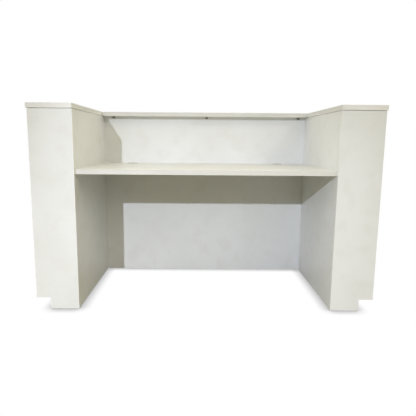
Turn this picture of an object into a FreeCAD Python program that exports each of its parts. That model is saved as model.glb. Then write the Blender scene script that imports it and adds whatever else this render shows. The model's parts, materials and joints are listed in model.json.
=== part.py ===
import FreeCAD, Part
import math
import os
import re

import Sketcher

# A reception desk, seen from the staff side along +Y. Two hollow columns stand left and right.
# A worktop spans between them at sitting height, and a double wall closes the visitors' side.
# A ledge crowns the wall and a cap crowns each column.
# +X is the staff's right, +Y points to the visitors and +Z is up. The origin is on the floor,
# in the middle of the desk's outline. Every length is in millimetres.

DIMENSIONS = {
    # Outline of the desk
    "half_width": 894,  # middle to a column's outer face
    "half_gap": 670,  # middle to a column's inner face
    "near_face": -398,  # staff face of the end panels
    "far_face": 394,  # visitors' face of the fascia
    "body_top": 1050,  # underside of the caps and the ledge
    "cap_gap": 2,  # shadow gap between a column's sides and its cap, which sits on the rails
    "floor_gap": 3,  # the boards stay this far off the floor
    "kick_height": 63,  # floor to the underside of the base boards
    "kick_depth": 74,  # toe recess, in from the outer faces
    # Boards
    "board": 18,
    "top_board": 25,
    "band": 1,  # edge band
    "cap_side": 6,  # cap and ledge beyond the sides and the fascia
    "cap_near": 2,  # cap beyond the end panels
    "ledge_near": 232,  # staff edge of the ledge
    "wall_near": 302,  # staff face of the back panel
    "worktop_top": 745,
    "shelf_top": 718,
    "rail_width": 80,
    "stile_offset": 220,
    # Corner blocks under the ledge
    "block_width": 16,
    "block_depth": 12,
    "block_height": 11,
    "block_chamfer": 2,
    "block_left": -606,
    "block_middle": 12,
    "block_right": 622,
    # Wood screws: short for foot sockets, medium for corner blocks, long for rails
    "screw_radius": 2,
    "screw_head_radius": 3.8,
    "screw_head": 2.4,
    "screw_point": 3,
    "short_screw": 14,
    "medium_screw": 26,
    "long_screw": 36,
    # Edge screws: from inside the columns and the wall into the worktop's edges
    "edge_screw": 50,
    "edge_screw_radius": 3.2,
    "edge_screw_head_radius": 5,
    # Cable grommets in the worktop
    "grommet_offset": 475,
    "grommet_depth": 232,
    "worktop_hole_radius": 30,
    "sleeve_radius": 29.9,
    "sleeve_bore": 27.8,
    "sleeve_depth": 22,
    "flange_radius": 35,
    "flange_height": 2.4,
    "flange_round": 1.2,
    "rim_bore": 25.2,
    "rim_top": -0.3,  # from the worktop's surface
    "rim_height": 4.4,
    "cover_radius": 27.4,
    "cover_height": 2.2,
    "slot_half_width": 9,
    "slot_start": 11,
    "boss_radius": 3,
    "boss_depth": 2.4,
    "keeper_radius": 4.6,
    "keeper_height": 0.8,
    "shutter_radius": 24.6,
    "shutter_bore": 3.05,
    "shutter_height": 1.2,
    "shutter_drop": 0.6,  # shutter's top below the cover
    "shutter_hub": 6,
    # Levelling feet
    "foot_offset": 745,
    "foot_near": -330,
    "foot_far": 250,
    "pad_radius": 20,
    "pad_top_radius": 11,
    "pad_edge": 4,
    "pad_height": 10,
    "pad_bore": 4.06,
    "pad_floor": 3,
    "stud_radius": 4,
    "stud_end": 3.3,
    "stud_top": 56,
    "stud_nut_low": 10.4,
    "stud_nut_high": 16,
    "stud_nut_radius": 7.5,
    "socket_radius": 10,
    "socket_bore": 4.06,
    "socket_low": 30,
    "socket_plate": 4,
    "socket_half_length": 30,
    "socket_half_width": 16,
    "socket_screw_offset": 22,
    "socket_screw_radius": 2.2,
}

SIDES = {"left": -1, "right": 1}
FOOT_PLACES = ("near", "far")
SMALLEST_CUT = 0.01  # mm3, less than any real pocket removes


def bound(text):
    """Turns the words of an expression into cells of the sheet."""
    return re.sub(r"[a-z][a-z_]+", lambda word: "Dims." + word.group(0), text)


def number(text):
    """Adds and subtracts the named dimensions of a short expression, for a feature's first guess."""
    total = 0.0
    for sign, word in re.findall(r"([+-]?)\s*([a-z_]+|[0-9.]+)", text):
        value = float(DIMENSIONS[word]) if word in DIMENSIONS else float(word)
        total += -value if sign == "-" else value
    return total


def make_sheet(doc):
    """Puts the driving dimensions in a sheet, one named cell each."""
    sheet = doc.addObject("Spreadsheet::Sheet", "Dims")
    for row, (name, value) in enumerate(DIMENSIONS.items(), start=1):
        sheet.set(f"A{row}", name)
        sheet.set(f"B{row}", str(value))
        sheet.setAlias(f"B{row}", name)
    doc.recompute()


def mirrored(side, span):
    """Span along X of a piece on the right column, or of its twin on the left one."""
    low, high = span
    return span if side > 0 else (f"-({high})", f"-({low})")


def box(doc, label, x, y, z):
    """Board between a low and a high expression along each axis."""
    board = doc.addObject("Part::Box", label)
    for size, axis, (low, high) in zip(("Length", "Width", "Height"), "xyz", (x, y, z)):
        board.setExpression(size, bound(f"({high}) - ({low})"))
        board.setExpression(f"Placement.Base.{axis}", bound(low))
    return board


def cylinder(doc, label, radius, centre_x, centre_y, low, high):
    """Upright cylinder between two heights."""
    rod = doc.addObject("Part::Cylinder", label)
    rod.setExpression("Radius", bound(radius))
    rod.setExpression("Height", bound(f"({high}) - ({low})"))
    for axis, text in zip("xyz", (centre_x, centre_y, low)):
        rod.setExpression(f"Placement.Base.{axis}", bound(text))
    return rod


def cut(doc, label, base, tool):
    """Base less tool."""
    result = doc.addObject("Part::Cut", label)
    result.Base = base
    result.Tool = tool
    return result


def origin_plane(body, role):
    """One of the body's own origin planes, such as XY_Plane."""
    return next(item for item in body.Origin.OriginFeatures if item.Role == role)


def new_sketch(body, label, role):
    """Empty sketch on one of the body's origin planes."""
    sketch = body.newObject("Sketcher::SketchObject", label)
    sketch.AttachmentSupport = (origin_plane(body, role), [""])
    sketch.MapMode = "FlatFace"
    return sketch


def outline(body, label, role, corners):
    """Closed outline of straight edges whose corners are pairs of expressions."""
    sketch = new_sketch(body, label, role)
    points = [FreeCAD.Vector(number(across), number(up), 0) for across, up in corners]
    count = len(points)
    for index in range(count):
        sketch.addGeometry(Part.LineSegment(points[index], points[(index + 1) % count]), False)
    for index in range(count):
        sketch.addConstraint(Sketcher.Constraint("Coincident", index, 2, (index + 1) % count, 1))
    for index, (across, up) in enumerate(corners):
        for kind, text, guess in (("DistanceX", across, points[index].x), ("DistanceY", up, points[index].y)):
            row = sketch.addConstraint(Sketcher.Constraint(kind, -1, 1, index, 1, guess))
            if re.search("[a-z]", text):
                sketch.setExpression(f"Constraints[{row}]", bound(text))
    return sketch


def turned(doc, label, corners):
    """Body turned about Z from an outline in the XZ plane."""
    body = doc.addObject("PartDesign::Body", label)
    sketch = outline(body, label + "_profile", "XZ_Plane", corners)
    turn = body.newObject("PartDesign::Revolution", label + "_turn")
    turn.Profile = sketch
    turn.ReferenceAxis = (sketch, ["V_Axis"])
    turn.Angle = 360
    sketch.Visibility = False
    return body


def padded(doc, label, sketch_role, corners, height):
    """Body made by padding an outline, evenly to both sides of its plane."""
    body = doc.addObject("PartDesign::Body", label)
    sketch = outline(body, label + "_outline", sketch_role, corners)
    pad = body.newObject("PartDesign::Pad", label + "_pad")
    pad.Profile = sketch
    pad.Midplane = True
    pad.setExpression("Length", bound(height))
    return body


def pocket(body, label, sketch, depth, backwards):
    """Pocket that must remove material from the body."""
    before = body.Tip.Shape.Volume
    feature = body.newObject("PartDesign::Pocket", label)
    feature.Profile = sketch
    feature.setExpression("Length", bound(depth))
    feature.Reversed = backwards
    body.Document.recompute()
    if before - feature.Shape.Volume < SMALLEST_CUT:
        raise RuntimeError(f"{label} cuts nothing")
    return feature


def group(doc, label, master, placements):
    """One node of identical separate solids: linked copies of a master piece."""
    copies = []
    for index, placement in enumerate(placements, start=1):
        copy = doc.addObject("App::Link", f"{label}_{index}")
        copy.LinkedObject = master
        copy.Placement = placement
        copies.append(copy)
    node = doc.addObject("Part::Compound", label)
    node.Links = copies
    return node


def place(x, y, z, axis=(0, 0, 1), degrees=0.0):
    """Placement at a point, turned about an axis."""
    return FreeCAD.Placement(FreeCAD.Vector(x, y, z), FreeCAD.Rotation(FreeCAD.Vector(*axis), degrees))


# ---------------------------------------------------------------- boards


def end_panel(doc, name, side):
    """Staff-side panel of a column with the toe notch, and the band around its edges."""
    notch_x = mirrored(side, ("half_width - kick_depth", "half_width + band"))
    whole = box(doc, f"end_outline_{name}", mirrored(side, ("half_gap", "half_width")),
                ("near_face", "near_face + board"), ("floor_gap", "body_top - cap_gap"))
    notch = box(doc, f"end_notch_{name}", notch_x,
                ("near_face - 1", "near_face + board + 1"), ("0", "kick_height"))
    core = box(doc, f"end_core_{name}", mirrored(side, ("half_gap + band", "half_width - band")),
               ("near_face", "near_face + board"), ("floor_gap + band", "body_top - cap_gap"))
    core_notch = box(doc, f"end_core_notch_{name}",
                     mirrored(side, ("half_width - kick_depth - band", "half_width + band")),
                     ("near_face - 1", "near_face + board + 1"), ("0", "kick_height + band"))
    panel = cut(doc, f"end_panel_{name}", core, core_notch)
    edged = cut(doc, f"end_edged_{name}", whole, notch)
    inner = cut(doc, f"end_inner_{name}",
                box(doc, f"end_core_copy_{name}", mirrored(side, ("half_gap + band", "half_width - band")),
                    ("near_face", "near_face + board"), ("floor_gap + band", "body_top - cap_gap")),
                box(doc, f"end_notch_copy_{name}",
                    mirrored(side, ("half_width - kick_depth - band", "half_width + band")),
                    ("near_face - 1", "near_face + board + 1"), ("0", "kick_height + band")))
    return [panel, cut(doc, f"end_band_{name}", edged, inner)]


def inner_side(doc, name, side):
    """Column side that faces the knee space, notched for the visitors' toe recess."""
    plain = box(doc, f"inner_blank_{name}", mirrored(side, ("half_gap", "half_gap + board")),
                ("near_face + board", "far_face - board"), ("floor_gap", "body_top - cap_gap"))
    notch = box(doc, f"inner_notch_{name}", mirrored(side, ("half_gap - 1", "half_gap + board + 1")),
                ("far_face - kick_depth", "far_face"), ("0", "kick_height"))
    return [cut(doc, f"inner_side_{name}", plain, notch)]


def column_boards(doc, name, side):
    """Plain boards of one column."""
    near = "near_face + board"
    far = "far_face - board"
    hollow = mirrored(side, ("half_gap + board", "half_width - board"))
    plinth_x = mirrored(side, ("half_width - kick_depth - board", "half_width - kick_depth"))
    below = ("floor_gap", "kick_height")
    rail_z = ("body_top - board", "body_top")
    return [
        box(doc, f"outer_side_{name}", mirrored(side, ("half_width - board", "half_width")),
            (near, far), ("kick_height", "body_top - cap_gap")),
        box(doc, f"plinth_side_{name}", plinth_x, (near, "far_face - kick_depth"), below),
        box(doc, f"plinth_far_{name}",
            mirrored(side, ("half_gap + board", "half_width - kick_depth - board")),
            ("far_face - kick_depth - board", "far_face - kick_depth"), below),
        box(doc, f"column_base_{name}", hollow, (near, far), ("kick_height", "kick_height + board")),
        box(doc, f"column_shelf_{name}", hollow, (near, far), ("shelf_top - board", "shelf_top")),
        box(doc, f"near_rail_{name}", hollow, (near, near + " + rail_width"), rail_z),
        box(doc, f"middle_rail_{name}", hollow, ("ledge_near - rail_width", "ledge_near"), rail_z),
        box(doc, f"far_rail_{name}", hollow, (far + " - rail_width", far), rail_z),
    ]


def cap(doc, name, side):
    """Top board of a column and the band around its three free edges."""
    high = ("body_top", "body_top + top_board")
    near = "near_face - cap_near"
    core_x = mirrored(side, ("half_gap + band", "half_width + cap_side - band"))
    core_y = (near + " + band", "ledge_near")
    board = box(doc, f"cap_{name}", core_x, core_y, high)
    edged = box(doc, f"cap_edged_{name}", mirrored(side, ("half_gap", "half_width + cap_side")),
                (near, "ledge_near"), high)
    inner = box(doc, f"cap_inner_{name}", core_x, (near + " + band", "ledge_near + 1"), high)
    return [board, cut(doc, f"cap_band_{name}", edged, inner)]


def ledge(doc):
    """Counter over the wall, in front of the caps, and the band all round it."""
    high = ("body_top", "body_top + top_board")
    edge = "half_width + cap_side"
    core_x = (f"-({edge} - band)", f"{edge} - band")
    core_y = ("ledge_near + band", "far_face + cap_side - band")
    edged = box(doc, "ledge_edged", (f"-({edge})", edge), ("ledge_near", "far_face + cap_side"), high)
    inner = box(doc, "ledge_inner", core_x, core_y, high)
    return [box(doc, "ledge", core_x, core_y, high), cut(doc, "ledge_band", edged, inner)]


def worktop(doc):
    """Work surface with two cable holes, and the band on its staff edge."""
    high = ("worktop_top - top_board", "worktop_top")
    width = ("-half_gap", "half_gap")
    edge = "near_face + board"
    board = box(doc, "worktop_blank", width, (f"{edge} + band", "wall_near"), high)
    for name, side in SIDES.items():
        centre = "grommet_offset" if side > 0 else "-grommet_offset"
        drill = cylinder(doc, f"worktop_drill_{name}", "worktop_hole_radius", centre, "grommet_depth",
                         "worktop_top - top_board - 1", "worktop_top + 1")
        label = "worktop" if name == "right" else "worktop_drilled"
        board = cut(doc, label, board, drill)
    return [board, box(doc, "worktop_band", width, (edge, f"{edge} + band"), high)]


def wall(doc):
    """Double wall on the visitors' side: two skins on a frame of rails and stiles."""
    inside = ("-half_gap", "half_gap")
    frame_y = ("wall_near + board", "far_face - board")
    base_top = "kick_height + board"
    boards = [
        box(doc, "back_panel", inside, ("wall_near", "wall_near + board"), ("floor_gap", "body_top")),
        box(doc, "fascia", ("-half_width", "half_width"), ("far_face - board", "far_face"),
            ("kick_height", "body_top")),
        box(doc, "wall_base_rail", inside, frame_y, ("kick_height", base_top)),
        box(doc, "wall_top_rail", inside, frame_y, ("body_top - board", "body_top")),
    ]
    for name, side in SIDES.items():
        boards.append(box(doc, f"wall_stile_{name}", mirrored(side, ("stile_offset", "stile_offset + board")),
                          frame_y, (base_top, "body_top - board")))
    return boards


# ---------------------------------------------------------------- hardware


def screw(doc, label, length, radius="screw_radius", head_radius="screw_head_radius"):
    """Screw with a flat-seated head: seat at Z = 0, head above it and point below."""
    return turned(doc, label, [
        ("0", f"-{length}"), (radius, f"-{length} + screw_point"), (radius, "0"),
        (head_radius, "0"), (head_radius, "screw_head"), ("0", "screw_head"),
    ])


def edge_screws(doc):
    """Screws from inside each column and the wall into the edges of the worktop."""
    size = DIMENSIONS
    height = size["worktop_top"] - size["top_board"] / 2
    seat = size["half_gap"] + size["board"]
    spots = []
    for side in SIDES.values():
        spots += [place(side * seat, y, height, (0, 1, 0), 90 * side) for y in (-300, -40, 220)]
    wall_seat = size["wall_near"] + size["board"]
    spots += [place(x, wall_seat, height, (1, 0, 0), -90) for x in (-400, 0, 400)]
    master = screw(doc, "edge_screw_master", "edge_screw", "edge_screw_radius", "edge_screw_head_radius")
    return [group(doc, "edge_screws", master, spots)]


def socket_screws(doc):
    """Two short screws through the plate of each foot socket."""
    size = DIMENSIONS
    height = size["kick_height"] - size["socket_plate"]
    spots = []
    for x, y in foot_places().values():
        for offset in (-size["socket_screw_offset"], size["socket_screw_offset"]):
            spots.append(place(x, y + offset, height, (1, 0, 0), 180))
    return [group(doc, "socket_screws", screw(doc, "short_screw_master", "short_screw"), spots)]


def corner_block(doc):
    """Block in the corner of wall and ledge: corner at the origin, body along -Y and -Z."""
    return padded(doc, "block_master", "YZ_Plane", [
        ("0", "0"), ("-block_depth", "0"), ("-block_depth", "-block_height + block_chamfer"),
        ("-block_depth + block_chamfer", "-block_height"), ("0", "-block_height"),
    ], "block_width")


def blocks_and_screws(doc):
    """Three corner blocks under the ledge, each with a screw up and a screw into the wall."""
    size = DIMENSIONS
    corner = [(size[f"block_{name}"], size["wall_near"], size["body_top"]) for name in ("left", "middle", "right")]
    quarter = size["block_width"] / 4
    screw_spots = []
    for x, y, z in corner:
        screw_spots.append(place(x + quarter, y - 5, z - size["block_height"], (1, 0, 0), 180))
        screw_spots.append(place(x - quarter, y - size["block_depth"], z - 5, (1, 0, 0), 90))
    return [
        group(doc, "ledge_blocks", corner_block(doc), [place(*spot) for spot in corner]),
        group(doc, "block_screws", screw(doc, "medium_screw_master", "medium_screw"), screw_spots),
    ]


def top_screws(doc):
    """Screws up through the rails into the caps and the ledge."""
    size = DIMENSIONS
    low = size["body_top"] - size["board"]
    half_rail = size["rail_width"] / 2
    rails = (
        size["near_face"] + size["board"] + half_rail,
        size["ledge_near"] - half_rail,
        size["far_face"] - size["board"] - half_rail,
    )
    wall_middle = (size["wall_near"] + size["far_face"]) / 2
    spots = [(side * x, y) for side in SIDES.values() for y in rails for x in (740, 824)]
    spots += [(x, wall_middle) for x in (-600, -200, 200, 600)]
    master = screw(doc, "long_screw_master", "long_screw")
    return [group(doc, "top_screws", master, [place(x, y, low, (1, 0, 0), 180) for x, y in spots])]


def set_place(body, x, y, z):
    """Binds a body's position to the sheet."""
    for axis, text in zip("xyz", (x, y, z)):
        body.setExpression(f"Placement.Base.{axis}", bound(text))


def grommet(doc, name, side):
    """Sleeve in the worktop, lift-out cover with a cable slot, and turning shutter below it."""
    centre = ("grommet_offset" if side > 0 else "-grommet_offset", "grommet_depth", "worktop_top")
    sleeve = turned(doc, f"grommet_sleeve_{name}", [
        ("rim_bore", "rim_top"), ("sleeve_bore", "rim_top"), ("sleeve_bore", "flange_height"),
        ("flange_radius - flange_round", "flange_height"), ("flange_radius", "flange_height - flange_round"),
        ("flange_radius", "0"), ("sleeve_radius", "0"), ("sleeve_radius", "-sleeve_depth"),
        ("sleeve_bore", "-sleeve_depth"), ("sleeve_bore", "rim_top - rim_height"),
        ("rim_bore", "rim_top - rim_height"),
    ])
    low = "-boss_depth - keeper_height"
    cover = turned(doc, f"grommet_cover_{name}", [
        ("0", "cover_height"), ("cover_radius", "cover_height"), ("cover_radius", "0"),
        ("boss_radius", "0"), ("boss_radius", "-boss_depth"), ("keeper_radius", "-boss_depth"),
        ("keeper_radius", low), ("0", low),
    ])
    doc.recompute()
    slot = outline(cover, f"grommet_slot_{name}", "XY_Plane", [
        ("-slot_half_width", "slot_start"), ("slot_half_width", "slot_start"),
        ("slot_half_width", "cover_radius + 1"), ("-slot_half_width", "cover_radius + 1"),
    ])
    pocket(cover, f"grommet_slot_cut_{name}", slot, "cover_height", True)
    shutter = doc.addObject("PartDesign::Body", f"grommet_shutter_{name}")
    half = new_sketch(shutter, f"grommet_shutter_outline_{name}", "XY_Plane")
    shutter_outline(half)
    pad = shutter.newObject("PartDesign::Pad", f"grommet_shutter_pad_{name}")
    pad.Profile = half
    pad.setExpression("Length", bound("shutter_height"))
    for body in (sleeve, cover):
        set_place(body, *centre)
    set_place(shutter, centre[0], centre[1], "worktop_top - shutter_drop - shutter_height")
    return [sleeve, cover, shutter]


def shutter_outline(sketch):
    """Half disc on the staff's side of the centre, with a hub around its bore."""
    size = DIMENSIONS
    radius = float(size["shutter_radius"])
    hub = float(size["shutter_hub"])
    z_axis = FreeCAD.Vector(0, 0, 1)
    middle = FreeCAD.Vector(0, 0, 0)
    outer = sketch.addGeometry(Part.ArcOfCircle(Part.Circle(middle, z_axis, radius), math.pi, 2 * math.pi), False)
    right = sketch.addGeometry(Part.LineSegment(FreeCAD.Vector(radius, 0, 0), FreeCAD.Vector(hub, 0, 0)), False)
    inner = sketch.addGeometry(Part.ArcOfCircle(Part.Circle(middle, z_axis, hub), 0, math.pi), False)
    left = sketch.addGeometry(Part.LineSegment(FreeCAD.Vector(-hub, 0, 0), FreeCAD.Vector(-radius, 0, 0)), False)
    bore = sketch.addGeometry(Part.Circle(middle, z_axis, float(size["shutter_bore"])), False)
    for arc in (outer, inner, bore):
        sketch.addConstraint(Sketcher.Constraint("Coincident", arc, 3, -1, 1))
    for pair in ((outer, 2, right, 1), (right, 2, inner, 1), (inner, 2, left, 1), (left, 2, outer, 1)):
        sketch.addConstraint(Sketcher.Constraint("Coincident", *pair))
    for line in (right, left):
        sketch.addConstraint(Sketcher.Constraint("PointOnObject", line, 1, -1))
    for index, text in ((outer, "shutter_radius"), (inner, "shutter_hub"), (bore, "shutter_bore")):
        row = sketch.addConstraint(Sketcher.Constraint("Radius", index, float(size[text])))
        sketch.setExpression(f"Constraints[{row}]", bound(text))


def foot_places():
    """Name and centre of each levelling foot."""
    size = DIMENSIONS
    return {
        f"{name}_{depth}": (side * size["foot_offset"], size[f"foot_{depth}"])
        for name, side in SIDES.items()
        for depth in FOOT_PLACES
    }


def foot_socket(doc):
    """Threaded socket under a base board: plate above, boss below, bore open downwards."""
    body = turned(doc, "socket_master", [
        ("socket_bore", "socket_low"), ("socket_radius", "socket_low"), ("socket_radius", "kick_height"),
        ("socket_bore", "kick_height"),
    ])
    plate = box(doc, "socket_plate_blank", ("-socket_half_width", "socket_half_width"),
                ("-socket_half_length", "socket_half_length"), ("kick_height - socket_plate", "kick_height"))
    low, high = "kick_height - socket_plate - 1", "kick_height + 1"
    drills = [cylinder(doc, "socket_stud_drill", "socket_bore", "0", "0", low, high)]
    for name, sign in (("near", "-"), ("far", "")):
        drills.append(cylinder(doc, f"socket_screw_drill_{name}", "socket_screw_radius", "0",
                               f"{sign}socket_screw_offset", low, high))
    for index, drill in enumerate(drills, start=1):
        plate = cut(doc, f"socket_plate_{index}", plate, drill)
    fuse = doc.addObject("Part::Fuse", "socket_whole")
    fuse.Base = body
    fuse.Tool = plate
    return fuse


def feet(doc):
    """Four levelling feet: sockets in one node, and a pad and a stud for each."""
    places = foot_places()
    nodes = [group(doc, "foot_sockets", foot_socket(doc), [place(x, y, 0) for x, y in places.values()])]
    for name, (x, y) in places.items():
        pad = turned(doc, f"foot_pad_{name}", [
            ("0", "0"), ("pad_radius", "0"), ("pad_radius", "pad_edge"), ("pad_top_radius", "pad_height"),
            ("pad_bore", "pad_height"), ("pad_bore", "pad_floor"), ("0", "pad_floor"),
        ])
        stud = turned(doc, f"foot_stud_{name}", [
            ("0", "stud_end"), ("stud_radius", "stud_end"), ("stud_radius", "stud_nut_low"),
            ("stud_nut_radius", "stud_nut_low"), ("stud_nut_radius", "stud_nut_high"),
            ("stud_radius", "stud_nut_high"), ("stud_radius", "stud_top"), ("0", "stud_top"),
        ])
        for body in (pad, stud):
            body.Placement = place(x, y, 0)
        nodes += [pad, stud]
    return nodes


# ---------------------------------------------------------------- whole desk


def build(doc):
    """Makes every node of the desk."""
    make_sheet(doc)
    nodes = []
    for name, side in SIDES.items():
        nodes += end_panel(doc, name, side)
        nodes += inner_side(doc, name, side)
        nodes += column_boards(doc, name, side)
        nodes += cap(doc, name, side)
    nodes += ledge(doc)
    nodes += worktop(doc)
    nodes += wall(doc)
    nodes += edge_screws(doc)
    nodes += socket_screws(doc)
    nodes += blocks_and_screws(doc)
    nodes += top_screws(doc)
    for name, side in SIDES.items():
        nodes += grommet(doc, name, side)
    nodes += feet(doc)
    doc.recompute()
    return nodes


def check(doc, nodes):
    """Stops at the first object that failed to rebuild, or a node with no sound solid."""
    for item in doc.Objects:
        if {"Invalid", "Error"} & set(item.State):
            raise RuntimeError(f"{item.Label} failed: {item.State}")
    for node in nodes:
        if node.Shape.isNull() or not node.Shape.isValid() or not node.Shape.Solids:
            raise RuntimeError(f"{node.Label} has no valid solid")


def write(nodes):
    """Writes one STEP file per node."""
    os.makedirs("parts", exist_ok=True)
    for node in nodes:
        node.Shape.exportStep(os.path.join("parts", node.Label + ".step"))
        print(f"{node.Label}: {len(node.Shape.Solids)} solid(s), {node.Shape.Volume / 1000:.1f} cm3")


document = FreeCAD.newDocument("ReceptionDesk")
desk = build(document)
check(document, desk)
write(desk)
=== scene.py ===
"""Looks of a white melamine reception desk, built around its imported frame.

The desk stands with its staff side towards -Y. Lengths are in metres and +Z is up.
"""

import json
import logging
import math
from dataclasses import dataclass, field
from enum import Enum
from typing import Callable

import bmesh
import bpy
from mathutils import Matrix, Vector


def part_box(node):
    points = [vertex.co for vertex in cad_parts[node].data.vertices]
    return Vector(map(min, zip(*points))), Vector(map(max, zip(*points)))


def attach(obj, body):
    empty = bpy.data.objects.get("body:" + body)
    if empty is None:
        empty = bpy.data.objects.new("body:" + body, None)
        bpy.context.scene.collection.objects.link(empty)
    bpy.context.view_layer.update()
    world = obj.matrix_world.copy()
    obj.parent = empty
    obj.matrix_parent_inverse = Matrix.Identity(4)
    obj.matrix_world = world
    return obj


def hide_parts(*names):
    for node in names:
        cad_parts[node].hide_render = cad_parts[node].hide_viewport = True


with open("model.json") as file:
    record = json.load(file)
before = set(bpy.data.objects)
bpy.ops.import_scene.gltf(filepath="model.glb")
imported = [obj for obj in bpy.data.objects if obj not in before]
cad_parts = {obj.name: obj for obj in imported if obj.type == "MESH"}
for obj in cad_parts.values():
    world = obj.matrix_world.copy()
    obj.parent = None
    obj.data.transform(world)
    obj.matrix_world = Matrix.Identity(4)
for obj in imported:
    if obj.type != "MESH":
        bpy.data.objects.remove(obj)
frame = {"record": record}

LOG = logging.getLogger("reception_desk")
MM = 0.001
SHARP_DEGREES = 40.0
MIX_A, MIX_B, MIX_RESULT = 6, 7, 2  # the Mix node's colour sockets
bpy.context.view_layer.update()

Colour = tuple[float, float, float, float]
Point = tuple[float, float, float]
Tree = bpy.types.NodeTree
Socket = bpy.types.NodeSocket
Form = bmesh.types.BMesh


class Side(Enum):
    """The two ends of the desk, as the staff see them."""

    LEFT = "left"
    RIGHT = "right"


class Foot(Enum):
    """The four levelling feet."""

    LEFT_NEAR = "left_near"
    LEFT_FAR = "left_far"
    RIGHT_NEAR = "right_near"
    RIGHT_FAR = "right_far"


# ---------------------------------------------------------------- small tools


def linear(code: str) -> Colour:
    """Turns an sRGB hex code into a linear colour.

    Args:
        code: six hex digits, with or without a leading hash.

    Returns:
        Red, green, blue and an alpha of 1.
    """
    digits = code.lstrip("#")
    channels = [int(digits[start:start + 2], 16) / 255 for start in (0, 2, 4)]
    red, green, blue = (
        channel / 12.92 if channel <= 0.04045 else ((channel + 0.055) / 1.055) ** 2.4
        for channel in channels
    )
    return red, green, blue, 1.0


def add_node(
    tree: Tree,
    kind: str,
    settings: dict[str, object] | None = None,
    values: dict[str | int, object] | None = None,
    links: dict[str | int, Socket] | None = None,
) -> bpy.types.Node:
    """Adds one shader node with its settings, values and links.

    Args:
        tree: the node tree that takes the node.
        kind: the node's type name, such as ShaderNodeBump.
        settings: properties of the node, by name.
        values: values of its input sockets, by name or number.
        links: sockets that feed its input sockets, by name or number.

    Returns:
        The new node.
    """
    made = tree.nodes.new(kind)
    for name, value in (settings or {}).items():
        setattr(made, name, value)
    for name, value in (values or {}).items():
        made.inputs[name].default_value = value
    for name, socket in (links or {}).items():
        tree.links.new(socket, made.inputs[name])
    return made


def set_ramp(ramp_node: bpy.types.Node, stops: list[tuple[float, Colour]]) -> None:
    """Sets the stops of a colour ramp.

    Args:
        ramp_node: the ramp.
        stops: position and linear colour of each stop, in order.
    """
    elements = ramp_node.color_ramp.elements
    while len(elements) < len(stops):
        elements.new(1.0)
    for element, (position, colour) in zip(elements, stops):
        element.position = position
        element.color = colour


def grey(level: float) -> Colour:
    """A linear grey, for ramps that carry a strength."""
    return level, level, level, 1.0


def per_metre(millimetres: float) -> float:
    """Texture scale that repeats once in a real length in millimetres."""
    return 1.0 / (millimetres * MM)


def start_material(name: str) -> tuple[bpy.types.Material, Tree, bpy.types.Node, Socket]:
    """Starts a material that is patterned by the place on the desk.

    Args:
        name: the material's name.

    Returns:
        The material, its nodes, its surface shader and the place on the desk.
    """
    material = bpy.data.materials.new(name)
    material.use_nodes = True
    tree = material.node_tree
    place = add_node(tree, "ShaderNodeTexCoord").outputs["Object"]
    return material, tree, tree.nodes["Principled BSDF"], place


def dress(node_name: str, material: bpy.types.Material) -> None:
    """Gives a frame node one material.

    Args:
        node_name: the node.
        material: its finish.
    """
    mesh = bpy.data.objects[node_name].data
    mesh.materials.clear()
    mesh.materials.append(material)


def ease_edges(node_name: str, width_mm: float, segments: int = 2) -> None:
    """Rounds the sharp edges of a frame node, inside its outline.

    Args:
        node_name: the node.
        width_mm: width of the rounding.
        segments: facets across the rounding.
    """
    shape = bpy.data.objects[node_name]
    rounding = shape.modifiers.new("eased_edges", "BEVEL")
    rounding.width = width_mm * MM
    rounding.segments = segments
    rounding.limit_method = "ANGLE"
    rounding.angle_limit = math.radians(SHARP_DEGREES)
    rounding.harden_normals = True
    rounding.use_clamp_overlap = True


def new_piece(
    name: str, mesh_maker: Callable[[Form], None], smooth: bool = True
) -> bpy.types.Object:
    """Makes an object from a function that fills a mesh.

    Args:
        name: the piece's name.
        mesh_maker: fills the empty mesh that it is given.
        smooth: shade its faces smooth.

    Returns:
        The new object, linked to the scene.
    """
    form = bmesh.new()
    mesh_maker(form)
    bmesh.ops.recalc_face_normals(form, faces=form.faces)
    mesh = bpy.data.meshes.new(name)
    form.to_mesh(mesh)
    form.free()
    for face in mesh.polygons:
        face.use_smooth = smooth
    piece = bpy.data.objects.new(name, mesh)
    bpy.context.scene.collection.objects.link(piece)
    return piece


def finish_piece(
    piece: bpy.types.Object,
    body: str,
    material: bpy.types.Material,
    replaced: tuple[str, ...] = (),
) -> bpy.types.Object:
    """Dresses a new piece and ties it to the frame.

    Args:
        piece: the piece, in place.
        body: the moving body that carries it.
        material: its finish.
        replaced: frame nodes that it stands for.

    Returns:
        The same piece.
    """
    piece.data.materials.append(material)
    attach(piece, body)
    if replaced:
        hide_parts(*replaced)
    LOG.info("piece %s rides on %s", piece.name, body)
    return piece


# ---------------------------------------------------------------- finishes


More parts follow.
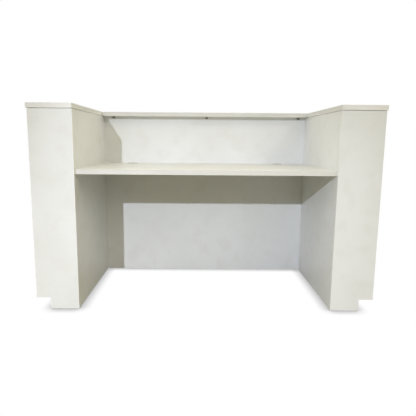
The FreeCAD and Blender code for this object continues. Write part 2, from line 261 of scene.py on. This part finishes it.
@dataclass(frozen=True)
class PressedMelamine:
    """Chipboard faced with resin-soaked white paper, pressed against a pearl-grained plate.

    It gives the eye a warm, slightly uneven white with a satin shine that breaks up in a fine pearl
    grain, rub marks from handling and, on edges that look down, the bare chips of the board.
    """

    name: str
    paper: str = "#E7E8E8"
    paper_thin: str = "#E2E3E2"
    rub: str = "#D8D7D2"
    chips: tuple[str, ...] = ("#8E6F4B", "#B8976B", "#D2B88E")
    ior: float = 1.5
    roughness: float = 0.36
    roughness_rubbed: float = 0.62
    scuffs_per_metre: Point = (14.0, 190.0, 190.0)
    scuff_slant: Point = (0.5, 0.35, 0.6)
    pearl_mm: float = 2.6  # the real grain is 0.6 mm, drawn coarser so that it shows
    wave_mm: float = 130.0
    tone_mm: float = 420.0
    rub_mm: float = 95.0
    chips_mm: float = 4.5
    cut_edge_mm: float = 10.0  # bottom edges below this height were never banded

    def build(self) -> bpy.types.Material:
        """Makes the material.

        Returns:
            The new material.
        """
        material, tree, shader, place = start_material(self.name)
        tone = add_node(tree, "ShaderNodeTexNoise",
                        values={"Scale": per_metre(self.tone_mm), "Detail": 3.0},
                        links={"Vector": place})
        paper = add_node(tree, "ShaderNodeValToRGB", links={"Fac": tone.outputs["Fac"]})
        set_ramp(paper, [(0.35, linear(self.paper_thin)), (0.62, linear(self.paper))])
        rubs = self._rubs(tree, place)
        rubbed = add_node(tree, "ShaderNodeMix", {"data_type": "RGBA"}, {MIX_B: linear(self.rub)},
                          {"Factor": rubs, MIX_A: paper.outputs["Color"]})
        board = self._bare_edges(tree, place, rubbed.outputs[MIX_RESULT])
        tree.links.new(board, shader.inputs["Base Color"])
        dull = add_node(tree, "ShaderNodeMapRange",
                        values={"To Min": self.roughness, "To Max": self.roughness_rubbed},
                        links={"Value": rubs})
        tree.links.new(dull.outputs["Result"], shader.inputs["Roughness"])
        tree.links.new(self._relief(tree, place), shader.inputs["Normal"])
        shader.inputs["IOR"].default_value = self.ior
        return material

    def _rubs(self, tree: Tree, place: Socket) -> Socket:
        """Strength of handling marks: soft smudges and fine slanting scuffs.

        Args:
            tree: the material's nodes.
            place: position on the board.

        Returns:
            A socket from 0, clean, to about 0.6, rubbed.
        """
        smudge = add_node(tree, "ShaderNodeTexNoise",
                          values={"Scale": per_metre(self.rub_mm), "Detail": 4.0,
                                  "Roughness": 0.55, "Distortion": 0.15},
                          links={"Vector": place})
        patches = add_node(tree, "ShaderNodeValToRGB", links={"Fac": smudge.outputs["Fac"]})
        set_ramp(patches, [(0.5, grey(0.0)), (0.85, grey(0.55))])
        slant = add_node(tree, "ShaderNodeMapping",
                         values={"Rotation": self.scuff_slant, "Scale": self.scuffs_per_metre},
                         links={"Vector": place})
        streak = add_node(tree, "ShaderNodeTexNoise", values={"Scale": 1.0, "Detail": 1.0},
                          links={"Vector": slant.outputs["Vector"]})
        scuffs = add_node(tree, "ShaderNodeValToRGB", links={"Fac": streak.outputs["Fac"]})
        set_ramp(scuffs, [(0.74, grey(0.0)), (0.82, grey(0.22))])
        both = add_node(tree, "ShaderNodeMath", {"operation": "ADD", "use_clamp": True},
                        links={0: patches.outputs["Color"], 1: scuffs.outputs["Color"]})
        return both.outputs["Value"]

    def _bare_edges(self, tree: Tree, place: Socket, facing: Socket) -> Socket:
        """Shows chipboard on the cut edges that stand over the floor.

        Args:
            tree: the material's nodes.
            place: position on the board.
            facing: colour of the white face.

        Returns:
            The board's colour.
        """
        chips = add_node(tree, "ShaderNodeTexVoronoi", values={"Scale": per_metre(self.chips_mm)},
                         links={"Vector": place})
        wood = add_node(tree, "ShaderNodeValToRGB", links={"Fac": chips.outputs["Color"]})
        set_ramp(wood, list(zip((0.1, 0.45, 0.9), map(linear, self.chips))))
        normal = add_node(tree, "ShaderNodeNewGeometry").outputs["True Normal"]
        parts = add_node(tree, "ShaderNodeSeparateXYZ", links={"Vector": normal})
        down = add_node(tree, "ShaderNodeMath", {"operation": "LESS_THAN"}, {1: -0.9},
                        {0: parts.outputs["Z"]})
        height = add_node(tree, "ShaderNodeSeparateXYZ", links={"Vector": place})
        low = add_node(tree, "ShaderNodeMath", {"operation": "LESS_THAN"},
                       {1: self.cut_edge_mm * MM}, {0: height.outputs["Z"]})
        bare = add_node(tree, "ShaderNodeMath", {"operation": "MULTIPLY"},
                        links={0: down.outputs["Value"], 1: low.outputs["Value"]})
        mixed = add_node(tree, "ShaderNodeMix", {"data_type": "RGBA"},
                         links={"Factor": bare.outputs["Value"], MIX_A: facing,
                                MIX_B: wood.outputs["Color"]})
        return mixed.outputs[MIX_RESULT]

    def _relief(self, tree: Tree, place: Socket) -> Socket:
        """Pearl grain over the faint waves that chips press into the paper.

        Args:
            tree: the material's nodes.
            place: position on the board.

        Returns:
            The surface normal.
        """
        wave = add_node(tree, "ShaderNodeTexNoise",
                        values={"Scale": per_metre(self.wave_mm), "Detail": 2.0},
                        links={"Vector": place})
        slow = add_node(tree, "ShaderNodeBump", values={"Strength": 0.25, "Distance": 0.6 * MM},
                        links={"Height": wave.outputs["Fac"]})
        pearl = add_node(tree, "ShaderNodeTexNoise",
                         values={"Scale": per_metre(self.pearl_mm), "Detail": 1.0},
                         links={"Vector": place})
        fine = add_node(tree, "ShaderNodeBump", values={"Strength": 0.22, "Distance": 0.08 * MM},
                        links={"Height": pearl.outputs["Fac"], "Normal": slow.outputs["Normal"]})
        return fine.outputs["Normal"]


@dataclass(frozen=True)
class ScrapedAbs:
    """White ABS edge band, glued on and scraped flush.

    It gives the eye a cleaner, whiter and slightly shinier line than the board's faces, with the
    faint chatter of the scraper.
    """

    name: str = "abs_edge_band_scraped"
    colour: str = "#ECECEA"
    shade: str = "#E4E4E1"
    ior: float = 1.53
    roughness: float = 0.3
    chatter_mm: float = 6.0
    tone_mm: float = 240.0

    def build(self) -> bpy.types.Material:
        """Makes the material.

        Returns:
            The new material.
        """
        material, tree, shader, place = start_material(self.name)
        tone = add_node(tree, "ShaderNodeTexNoise",
                        values={"Scale": per_metre(self.tone_mm), "Detail": 4.0},
                        links={"Vector": place})
        colour = add_node(tree, "ShaderNodeValToRGB", links={"Fac": tone.outputs["Fac"]})
        set_ramp(colour, [(0.35, linear(self.shade)), (0.6, linear(self.colour))])
        tree.links.new(colour.outputs["Color"], shader.inputs["Base Color"])
        shine = add_node(tree, "ShaderNodeMapRange",
                         values={"To Min": self.roughness - 0.06, "To Max": self.roughness + 0.1},
                         links={"Value": tone.outputs["Fac"]})
        tree.links.new(shine.outputs["Result"], shader.inputs["Roughness"])
        chatter = add_node(tree, "ShaderNodeTexNoise",
                           values={"Scale": per_metre(self.chatter_mm), "Detail": 1.0},
                           links={"Vector": place})
        bump = add_node(tree, "ShaderNodeBump", values={"Strength": 0.2, "Distance": 0.05 * MM},
                        links={"Height": chatter.outputs["Fac"]})
        tree.links.new(bump.outputs["Normal"], shader.inputs["Normal"])
        shader.inputs["IOR"].default_value = self.ior
        return material


@dataclass(frozen=True)
class MouldedPlastic:
    """Polypropylene or nylon moulded in a spark-eroded tool.

    It gives the eye a dull, even colour with a fine dry grain and slightly shinier worn spots.
    """

    name: str
    colour: str
    worn: str
    ior: float = 1.49
    roughness: float = 0.52
    grain_mm: float = 0.9  # the real grain is 0.2 mm, drawn coarser so that it shows
    wear_mm: float = 14.0

    def build(self) -> bpy.types.Material:
        """Makes the material.

        Returns:
            The new material.
        """
        material, tree, shader, place = start_material(self.name)
        wear = add_node(tree, "ShaderNodeTexNoise",
                        values={"Scale": per_metre(self.wear_mm), "Detail": 5.0},
                        links={"Vector": place})
        colour = add_node(tree, "ShaderNodeValToRGB", links={"Fac": wear.outputs["Fac"]})
        set_ramp(colour, [(0.4, linear(self.colour)), (0.72, linear(self.worn))])
        tree.links.new(colour.outputs["Color"], shader.inputs["Base Color"])
        shine = add_node(tree, "ShaderNodeMapRange",
                         values={"To Min": self.roughness + 0.08, "To Max": self.roughness - 0.12},
                         links={"Value": wear.outputs["Fac"]})
        tree.links.new(shine.outputs["Result"], shader.inputs["Roughness"])
        grain = add_node(tree, "ShaderNodeTexNoise",
                         values={"Scale": per_metre(self.grain_mm), "Detail": 2.0},
                         links={"Vector": place})
        bump = add_node(tree, "ShaderNodeBump", values={"Strength": 0.35, "Distance": 0.06 * MM},
                        links={"Height": grain.outputs["Fac"]})
        tree.links.new(bump.outputs["Normal"], shader.inputs["Normal"])
        shader.inputs["IOR"].default_value = self.ior
        return material


@dataclass(frozen=True)
class PlatedMetal:
    """Metal with a thin bright plate: nickel on die-cast zinc, or zinc on steel.

    It gives the eye a mirror-like grey that mottles a little in tone and in shine.
    """

    name: str
    colour: str
    shade: str
    roughness: float
    mottle_mm: float = 5.0
    polish_mm: float = 0.7

    def build(self) -> bpy.types.Material:
        """Makes the material.

        Returns:
            The new material.
        """
        material, tree, shader, place = start_material(self.name)
        mottle = add_node(tree, "ShaderNodeTexNoise",
                          values={"Scale": per_metre(self.mottle_mm), "Detail": 4.0},
                          links={"Vector": place})
        colour = add_node(tree, "ShaderNodeValToRGB", links={"Fac": mottle.outputs["Fac"]})
        set_ramp(colour, [(0.35, linear(self.shade)), (0.65, linear(self.colour))])
        tree.links.new(colour.outputs["Color"], shader.inputs["Base Color"])
        shine = add_node(tree, "ShaderNodeMapRange",
                         values={"To Min": self.roughness, "To Max": self.roughness + 0.14},
                         links={"Value": mottle.outputs["Fac"]})
        tree.links.new(shine.outputs["Result"], shader.inputs["Roughness"])
        polish = add_node(tree, "ShaderNodeTexNoise",
                          values={"Scale": per_metre(self.polish_mm), "Detail": 1.0},
                          links={"Vector": place})
        bump = add_node(tree, "ShaderNodeBump", values={"Strength": 0.12, "Distance": 0.02 * MM},
                        links={"Height": polish.outputs["Fac"]})
        tree.links.new(bump.outputs["Normal"], shader.inputs["Normal"])
        shader.inputs["Metallic"].default_value = 1.0
        return material


@dataclass
class Finishes:
    """Every finish of the desk, made once."""

    board: bpy.types.Material = field(init=False)
    band: bpy.types.Material = field(init=False)
    # a darker grey copy of the white band: painted shade for the front edges of the worktop and the
    # ledge
    top_band: bpy.types.Material = field(init=False)
    block: bpy.types.Material = field(init=False)
    foot: bpy.types.Material = field(init=False)
    cover: bpy.types.Material = field(init=False)
    ring: bpy.types.Material = field(init=False)
    steel: bpy.types.Material = field(init=False)

    def __post_init__(self) -> None:
        """Builds the materials."""
        self.board = PressedMelamine("melamine_board_pressed").build()
        self.band = ScrapedAbs().build()
        # Painted shade: the worktop's and ledge's front bands get a darker grey copy of the same
        # white ABS band, standing in for the duller light on those edges.
        self.top_band = ScrapedAbs("abs_band_scraped_painted_shade", "#DBDAD6", "#D4D3CE",
                                   roughness=0.36).build()
        self.block = MouldedPlastic("polypropylene_block_moulded", "#7A7666", "#918D7D").build()
        self.foot = MouldedPlastic("nylon_foot_moulded", "#17181A", "#2C2D2F").build()
        self.cover = MouldedPlastic("abs_cover_moulded", "#B4B4AF", "#C6C6C2",
                                    roughness=0.42).build()
        self.ring = PlatedMetal("zinc_ring_nickel_plated", "#DEDDD9", "#CFCECA",
                                roughness=0.16).build()
        self.steel = PlatedMetal("steel_screw_zinc_plated", "#B9BAB6", "#9A9B95",
                                 roughness=0.26).build()


# ---------------------------------------------------------------- sub-assemblies


@dataclass
class Carcass:
    """All the flat boards of the desk and the bands on their edges."""

    finishes: Finishes
    board_easing_mm: float = 0.5
    band_easing_mm: float = 0.4
    # bands that take the darker copy, which is painted shade on the worktop's and ledge's front
    # edges
    bands_with_painted_shade: tuple[str, ...] = ("worktop_band", "ledge_band")

    def build(self) -> None:
        """Dresses every board and band and rounds their edges slightly."""
        slots = {part["node"]: part["material_slot"] for part in frame["record"]["subparts"]}
        for name, slot in slots.items():
            if slot == "laminate":
                dress(name, self.finishes.board)
                ease_edges(name, self.board_easing_mm)
            elif slot == "edge_band":
                greyer = name in self.bands_with_painted_shade
                dress(name, self.finishes.top_band if greyer else self.finishes.band)
                ease_edges(name, self.band_easing_mm)
        LOG.info("carcass boards and bands dressed")


@dataclass
class SmallHardware:
    """Screws, corner blocks and foot sockets of the frame."""

    finishes: Finishes
    screws: tuple[str, ...] = ("edge_screws", "socket_screws", "top_screws", "block_screws")
    block_easing_mm: float = 0.8
    block_facets: int = 3
    socket_easing_mm: float = 0.5

    def build(self) -> None:
        """Dresses the hardware that keeps its frame shape."""
        for name in self.screws:
            dress(name, self.finishes.steel)
        dress("ledge_blocks", self.finishes.block)
        ease_edges("ledge_blocks", self.block_easing_mm, self.block_facets)
        dress("foot_sockets", self.finishes.foot)
        ease_edges("foot_sockets", self.socket_easing_mm)
        LOG.info("screws, blocks and sockets dressed")


@dataclass
class CableGrommet:
    """Plated sleeve, light grey lift-out cover and its shutter."""

    side: Side
    finishes: Finishes
    easing_mm: float = 0.3

    def build(self) -> None:
        """Dresses the three pieces."""
        dress(f"grommet_sleeve_{self.side.value}", self.finishes.ring)
        for piece in ("cover", "shutter"):
            name = f"grommet_{piece}_{self.side.value}"
            dress(name, self.finishes.cover)
            ease_edges(name, self.easing_mm)
        LOG.info("grommet %s dressed", self.side.value)


@dataclass
class LevellingFoot:
    """Nylon pad with a ribbed rim, and a steel stud with a hexagon collar and an M8 thread."""

    foot: Foot
    finishes: Finishes
    pad_profile_mm: tuple[tuple[float, float], ...] = (
        (18.6, 0.0), (19.6, 0.5), (20.0, 1.2), (20.0, 3.4), (19.5, 4.2), (18.4, 5.1),
        (12.2, 9.3), (11.0, 9.9), (10.2, 10.0), (4.8, 10.0), (4.1, 9.5), (4.1, 3.0),
    )
    rim_mm: float = 19.5
    rib_mm: float = 0.6
    ribs: int = 24
    steps_per_rib: int = 4
    thread_mm: float = 3.98
    thread_depth_mm: float = 0.6
    pitch_mm: float = 1.25
    stem_mm: float = 3.9
    collar_mm: float = 7.5
    stud_low_mm: float = 3.3
    collar_low_mm: float = 10.4
    collar_high_mm: float = 16.0
    stud_top_mm: float = 56.0
    stud_steps: int = 24
    rings_per_turn: int = 4
    stem_lead_mm: float = 0.7
    collar_easing_mm: float = 0.5
    thread_run_out_mm: float = 0.8
    thread_taper_mm: float = 0.9
    middle: Vector = field(init=False)

    def build(self) -> None:
        """Models the pad and the stud in the place of the plain ones."""
        name = self.foot.value
        low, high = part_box(f"foot_pad_{name}")
        self.middle = Vector(((low[0] + high[0]) / 2, (low[1] + high[1]) / 2, 0.0))
        pad = new_piece(f"pad_ribbed_{name}", self._pad, smooth=False)
        finish_piece(pad, f"pad_{name}", self.finishes.foot,
                     (f"foot_pad_{name}",))
        stud = new_piece(f"stud_threaded_{name}", self._stud, smooth=False)
        finish_piece(stud, f"stud_{name}", self.finishes.steel,
                     (f"foot_stud_{name}",))

    def _ring(
        self, form: Form, height: float, radii: list[float]
    ) -> list[bmesh.types.BMVert]:
        """Adds one level ring of points.

        Args:
            form: the mesh.
            height: height of the ring, in millimetres.
            radii: radius of each point, in millimetres.

        Returns:
            The points, anticlockwise.
        """
        ring = []
        for index, radius in enumerate(radii):
            turn = 2 * math.pi * index / len(radii)
            spot = Vector((radius * math.cos(turn), radius * math.sin(turn), height)) * MM
            ring.append(form.verts.new(self.middle + spot))
        return ring

    @staticmethod
    def _skin(form: Form, rings: list[list[bmesh.types.BMVert]]) -> None:
        """Joins rings into one closed skin with flat ends.

        Args:
            form: the mesh.
            rings: the rings, in order along the skin.
        """
        for lower, upper in zip(rings, rings[1:]):
            for index in range(len(lower)):
                after = (index + 1) % len(lower)
                form.faces.new((lower[index], lower[after], upper[after], upper[index]))
        form.faces.new(rings[0])
        form.faces.new(rings[-1])

    def _pad(self, form: Form) -> None:
        """Turns the pad's profile, with ribs round its rim.

        Args:
            form: the mesh.
        """
        steps = self.ribs * self.steps_per_rib
        rings = []
        for radius, height in self.pad_profile_mm:
            dip = self.rib_mm if radius >= self.rim_mm else 0.0
            grooved = [index % self.steps_per_rib >= self.steps_per_rib // 2
                       for index in range(steps)]
            radii = [radius - (dip if groove else 0.0) for groove in grooved]
            rings.append(self._ring(form, height, radii))
        self._skin(form, rings)

    def _stud(self, form: Form) -> None:
        """Builds the stud from its lower end up: stem, hexagon collar, thread.

        Args:
            form: the mesh.
        """
        steps = self.stud_steps
        around = [2 * math.pi * index / steps for index in range(steps)]
        sixth = math.pi / 3
        flat = self.collar_mm * math.cos(sixth / 2)
        hexagon = [flat / math.cos(turn % sixth - sixth / 2) for turn in around]
        levels = [
            (self.stud_low_mm, [self.stem_mm - self.stem_lead_mm] * steps),
            (self.stud_low_mm + self.stem_lead_mm, [self.stem_mm] * steps),
            (self.collar_low_mm, [self.stem_mm] * steps),
            (self.collar_low_mm, [flat] * steps),
            (self.collar_low_mm + self.collar_easing_mm, hexagon),
            (self.collar_high_mm - self.collar_easing_mm, hexagon),
            (self.collar_high_mm, [flat] * steps),
            (self.collar_high_mm, [self.thread_mm - self.thread_depth_mm] * steps),
        ]
        step = self.pitch_mm / self.rings_per_turn
        height = self.collar_high_mm + 2 * step
        while height < self.stud_top_mm - self.thread_run_out_mm:
            phases = [(height / self.pitch_mm - turn / (2 * math.pi)) % 1.0 for turn in around]
            flanks = [abs(2 * phase - 1) for phase in phases]
            radii = [self.thread_mm - self.thread_depth_mm * flank for flank in flanks]
            levels.append((height, radii))
            height += step
        levels.append((self.stud_top_mm, [self.thread_mm - self.thread_taper_mm] * steps))
        self._skin(form, [self._ring(form, height, radii) for height, radii in levels])


# ---------------------------------------------------------------- studio


@dataclass(frozen=True)
class SpotLamp:
    """One small studio lamp with a soft-edged beam."""

    name: str
    position: Point
    aim: Point
    radius: float
    beam_degrees: float
    power: float
    colour: Point

    def build(self) -> None:
        """Hangs the lamp."""
        lamp = bpy.data.lights.new(self.name, "SPOT")
        lamp.shadow_soft_size = self.radius
        lamp.spot_size = math.radians(self.beam_degrees)
        lamp.spot_blend = 1.0
        lamp.energy = self.power
        lamp.color = self.colour
        holder = bpy.data.objects.new(self.name, lamp)
        holder.location = self.position
        aim = Vector(self.aim) - Vector(self.position)
        holder.rotation_euler = aim.to_track_quat("-Z", "Y").to_euler()
        bpy.context.scene.collection.objects.link(holder)


@dataclass(frozen=True)
class SkyPatch:
    """One soft patch of light in the room around the desk."""

    direction: Point
    tightness: float
    strength: float
    colour: Point

    def shine(self, tree: Tree, view: Socket) -> Socket:
        """Adds the patch to the room.

        Args:
            tree: nodes of the room.
            view: direction in which the room is seen.

        Returns:
            The patch's light.
        """
        middle = tuple(Vector(self.direction).normalized())
        near = add_node(tree, "ShaderNodeVectorMath", {"operation": "DOT_PRODUCT"},
                        {1: middle}, {0: view})
        front = add_node(tree, "ShaderNodeMath", {"operation": "MAXIMUM"},
                         {1: 0.0}, {0: near.outputs["Value"]})
        soft = add_node(tree, "ShaderNodeMath", {"operation": "POWER"},
                        {1: self.tightness}, {0: front.outputs["Value"]})
        level = tuple(channel * self.strength for channel in self.colour)
        return add_node(tree, "ShaderNodeVectorMath", {"operation": "SCALE"}, {0: level},
                        {"Scale": soft.outputs["Value"]}).outputs["Vector"]


@dataclass
class Studio:
    """Pale floor, soft surrounding light, lamps and the camera."""

    floor_half: float = 14.0
    floor_drop: float = 0.0004
    floor_shade: Colour = (0.40, 0.38, 0.29, 1.0)
    # reach, openness and darkest tone of the painted contact shadow on the floor
    floor_contact: float = 0.062
    contact_open: float = 0.45
    painted_shadow_tone: float = 0.5
    contact_samples: int = 16
    lens_mm: float = 34.892
    sensor_mm: float = 36.0
    clip: tuple[float, float] = (0.05, 60.0)
    camera_place: Point = (-0.0388, -2.4425, 0.8920)
    camera_pitch: float = 0.1550
    camera_roll: float = 0.0078
    shift: tuple[float, float] = (0.0234, -0.0093)
    horizon: tuple[float, float] = (0.08, 0.24)
    lamps: tuple[SpotLamp, ...] = (
        SpotLamp("key_lamp", (-1.2, -3.65, 1.935), (0.38, 0.3, -0.5),
                 0.028, 55.0, 430.0, (0.83, 0.875, 1.0)),
        SpotLamp("right_lamp", (2.3, -2.4, 2.9), (0.1, 0.3, 0.9),
                 0.10, 60.0, 30.0, (1.0, 0.95, 0.84)),
    )
    patches: tuple[SkyPatch, ...] = (
        SkyPatch((0.42, -0.80, 0.40), 14.0, 2.35, (1.0, 0.96, 0.84)),
        SkyPatch((0.85, -0.34, 0.38), 14.0, 1.3, (1.0, 0.94, 0.78)),
        SkyPatch((-0.85, -0.34, 0.38), 14.0, 1.75, (1.0, 0.94, 0.80)),
        SkyPatch((0.0, 0.55, 0.85), 1.0, 0.92, (1.0, 0.91, 0.56)),
        SkyPatch((0.0, 0.98, 0.20), 4.0, 1.9, (0.86, 0.92, 1.0)),
    )

    def build(self) -> None:
        """Sets up the studio."""
        self._floor()
        self._surround()
        for lamp in self.lamps:
            lamp.build()
        self._camera()
        bpy.context.scene.view_settings.view_transform = "Standard"
        LOG.info("studio ready")

    def _floor(self) -> None:
        """Lays a plain white floor with a painted contact shadow: the glow that the camera sees
        darkens softly where something stands on it.
        """
        half = self.floor_half

        def sheet(form: Form) -> None:
            """Lays one flat square at the desk's feet.

            Args:
                form: the mesh.
            """
            spots = ((-half, -half), (half, -half), (half, half), (-half, half))
            form.faces.new([form.verts.new((x, y, -self.floor_drop)) for x, y in spots])

        floor = new_piece("studio_floor", sheet, smooth=False)
        material = bpy.data.materials.new("studio_floor_painted")
        material.use_nodes = True
        tree = material.node_tree
        tree.nodes.clear()
        paint = add_node(tree, "ShaderNodeBsdfDiffuse", values={"Color": self.floor_shade})
        # Painted contact shadow: an occlusion lookup darkens the floor's glow near the desk, for
        # camera rays only.
        open_sky = add_node(tree, "ShaderNodeAmbientOcclusion",
                            {"samples": self.contact_samples}, {"Distance": self.floor_contact})
        tone = add_node(tree, "ShaderNodeMapRange",
                        values={"From Min": self.contact_open, "To Min": self.painted_shadow_tone},
                        links={"Value": open_sky.outputs["AO"]})
        glow_with_painted_shadow = add_node(tree, "ShaderNodeEmission", values={"Strength": 1.0},
                        links={"Color": tone.outputs["Result"]})
        ray = add_node(tree, "ShaderNodeLightPath").outputs["Is Camera Ray"]
        mixed = add_node(tree, "ShaderNodeMixShader",
                         links={0: ray, 1: paint.outputs[0], 2: glow_with_painted_shadow.outputs[0]})
        add_node(tree, "ShaderNodeOutputMaterial", links={"Surface": mixed.outputs[0]})
        floor.data.materials.append(material)

    def _surround(self) -> None:
        """Lights the room with soft patches; the camera sees a plain white backdrop."""
        world = bpy.data.worlds.new("studio_world")
        bpy.context.scene.world = world
        world.use_nodes = True
        tree = world.node_tree
        tree.nodes.clear()
        view = add_node(tree, "ShaderNodeTexCoord").outputs["Generated"]
        light = None
        for patch in self.patches:
            shine = patch.shine(tree, view)
            light = shine if light is None else add_node(
                tree, "ShaderNodeVectorMath", {"operation": "ADD"}, links={0: light, 1: shine}
            ).outputs["Vector"]
        height = add_node(tree, "ShaderNodeSeparateXYZ", links={"Vector": view}).outputs["Z"]
        above = add_node(tree, "ShaderNodeMapRange", {"interpolation_type": "SMOOTHSTEP"},
                         {"From Min": self.horizon[0], "From Max": self.horizon[1]},
                         {"Value": height})
        room = add_node(tree, "ShaderNodeBackground",
                        links={"Color": light, "Strength": above.outputs["Result"]})
        backdrop = add_node(tree, "ShaderNodeBackground",
                            values={"Color": grey(1.0), "Strength": 1.0})
        ray = add_node(tree, "ShaderNodeLightPath").outputs["Is Camera Ray"]
        mixed = add_node(tree, "ShaderNodeMixShader",
                         links={0: ray, 1: room.outputs[0], 2: backdrop.outputs[0]})
        add_node(tree, "ShaderNodeOutputWorld", links={"Surface": mixed.outputs[0]})

    def _camera(self) -> None:
        """Places the camera on the staff side, at standing height, looking slightly down."""
        lens = bpy.data.cameras.new("camera")
        lens.lens = self.lens_mm
        lens.sensor_width = self.sensor_mm
        lens.shift_x, lens.shift_y = self.shift
        lens.clip_start, lens.clip_end = self.clip
        camera = bpy.data.objects.new("camera", lens)
        tilt = Matrix.Rotation(math.pi / 2 - self.camera_pitch, 4, "X")
        roll = Matrix.Rotation(self.camera_roll, 4, "Z")
        camera.matrix_world = Matrix.Translation(Vector(self.camera_place)) @ tilt @ roll
        bpy.context.scene.collection.objects.link(camera)
        bpy.context.scene.camera = camera


def main() -> None:
    """Builds the desk's looks and the studio, in order."""
    logging.basicConfig(level=logging.INFO, format="%(name)s: %(message)s")
    finishes = Finishes()
    Carcass(finishes).build()
    SmallHardware(finishes).build()
    for side in Side:
        CableGrommet(side, finishes).build()
    for foot in Foot:
        LevellingFoot(foot, finishes).build()
    Studio().build()


if __name__ == "__main__":
    main()
